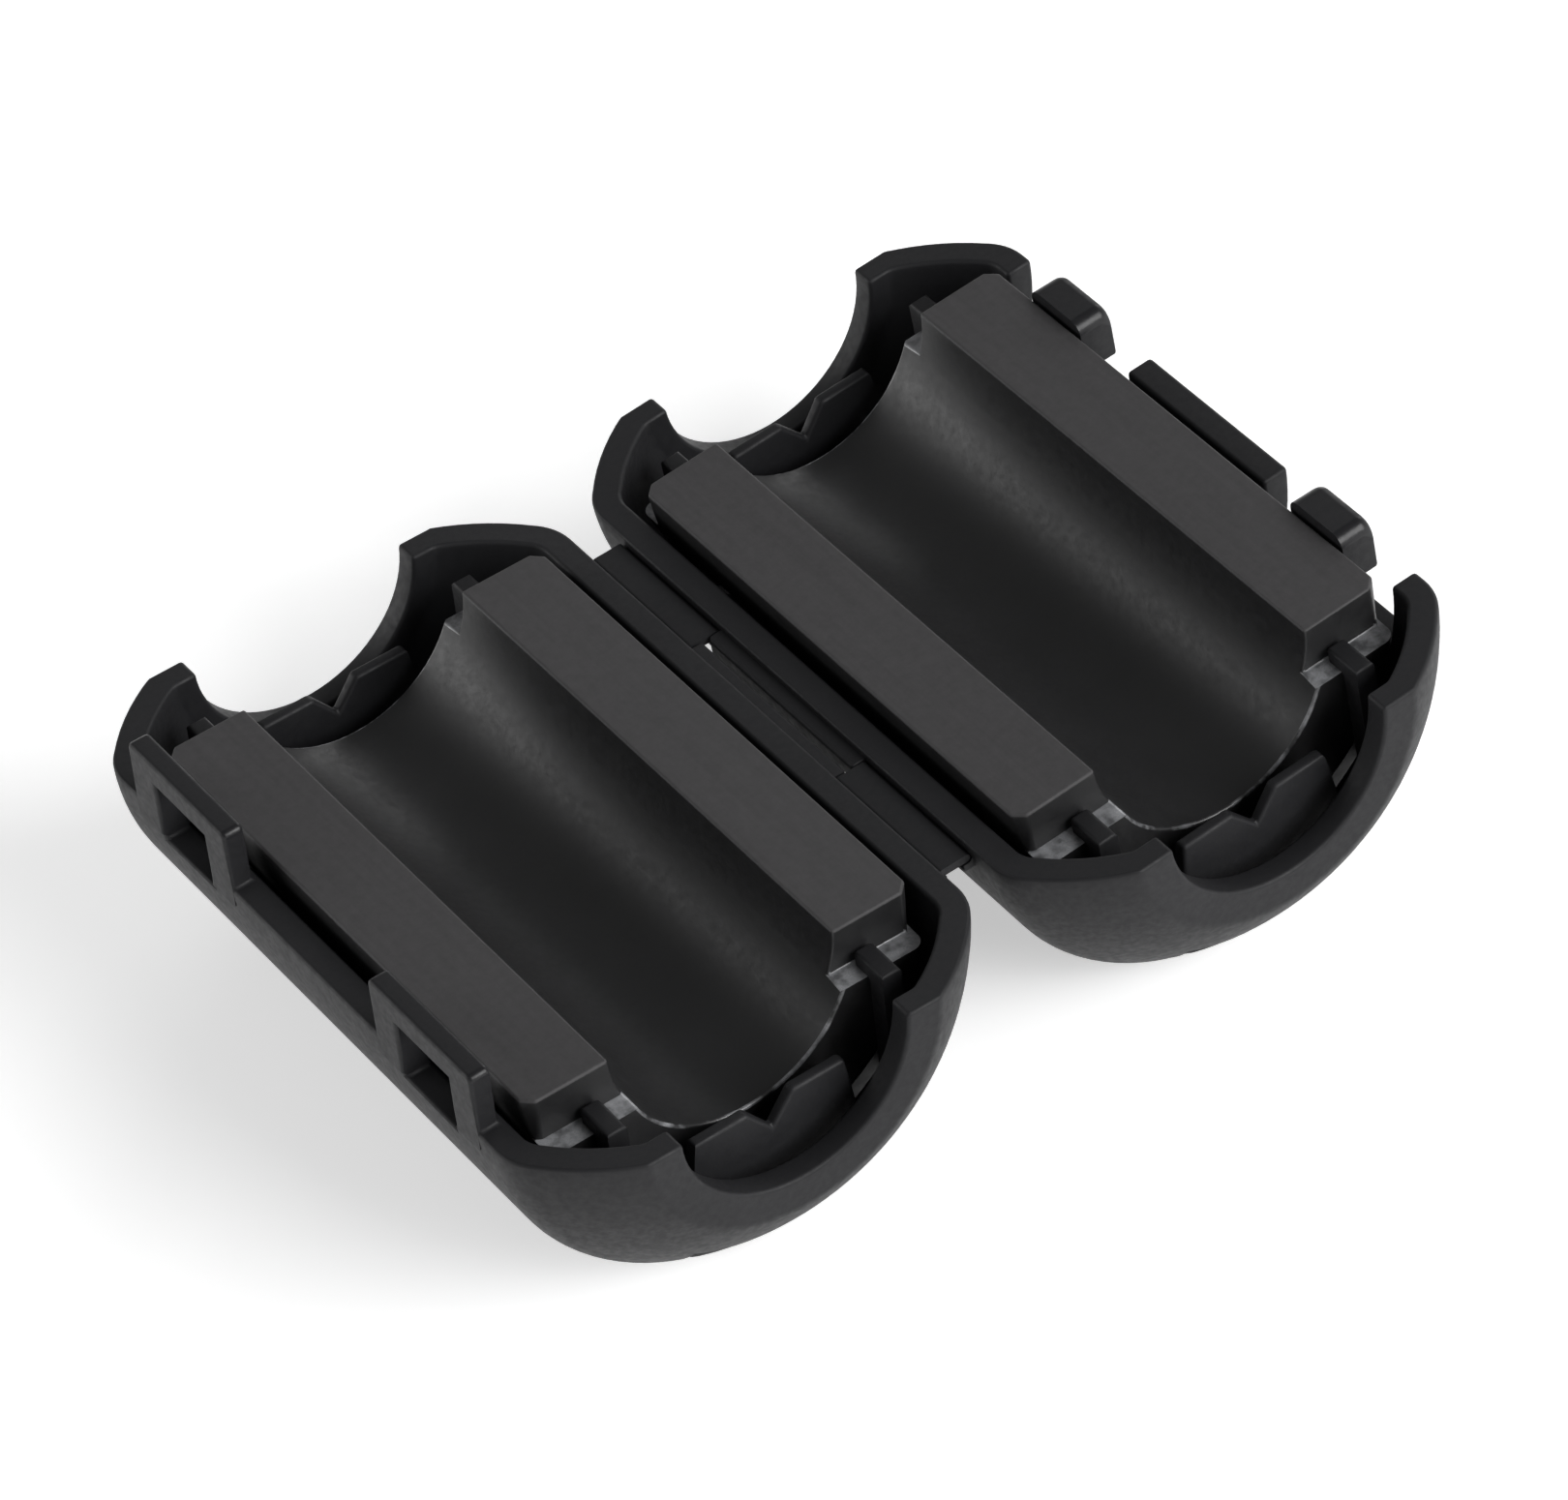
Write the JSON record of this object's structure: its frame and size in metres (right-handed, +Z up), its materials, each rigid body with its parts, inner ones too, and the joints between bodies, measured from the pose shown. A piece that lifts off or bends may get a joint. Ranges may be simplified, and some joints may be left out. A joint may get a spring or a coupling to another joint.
{
  "type": "clip-on ferrite bead",
  "caption": "Hinged plastic case that snaps shut round a cable, holding a split ferrite core with a round bore to damp interference.",
  "frame": {"origin": "middle of the open bead's footprint, on the surface it lies on", "axes": "+X from the base half to the lid half, +Y along the cable, +Z up"},
  "size_m": [0.0472, 0.037, 0.0146],
  "materials": {
    "case_plastic": "black moulded polyamide, matte",
    "ferrite": "dark grey sintered ferrite, ground flat on the mating faces"
  },
  "bodies": {
    "base": {"base_shell": "case_plastic"},
    "base_ferrite": {"base_core": "ferrite"},
    "webs": {"hinge_web_front": "case_plastic", "hinge_web_rear": "case_plastic"},
    "lid": {"lid_shell": "case_plastic"},
    "lid_ferrite": {"lid_core": "ferrite"}
  },
  "joints": [
    {"name": "web_fold", "type": "hinge", "parent": "base", "child": "webs", "pos_m": [-0.0006, 0, 0.00985], "axis": [0, -1, 0], "range_deg": [0, 87.3]},
    {"name": "lid_fold", "type": "hinge", "parent": "webs", "child": "lid", "pos_m": [0.0006, 0, 0.00985], "axis": [0, -1, 0], "range_deg": [0, 87.3]},
    {"name": "base_core_press", "type": "slide", "parent": "base", "child": "base_ferrite", "axis": [-0.0471, 0, -0.9989], "range_m": [0, 0.00078], "stiffness_N_per_m": 300, "springref_m": -0.001},
    {"name": "lid_core_press", "type": "slide", "parent": "lid", "child": "lid_ferrite", "axis": [0.0471, 0, -0.9989], "range_m": [0, 0.00078], "stiffness_N_per_m": 300, "springref_m": -0.001}
  ],
  "couplings": [
    {"joint": "web_fold", "follows": "base_core_press", "rad_per_m": 1953.4},
    {"joint": "lid_fold", "follows": "base_core_press", "rad_per_m": 1953.4},
    {"joint": "lid_core_press", "follows": "base_core_press", "ratio": 1}
  ]
}
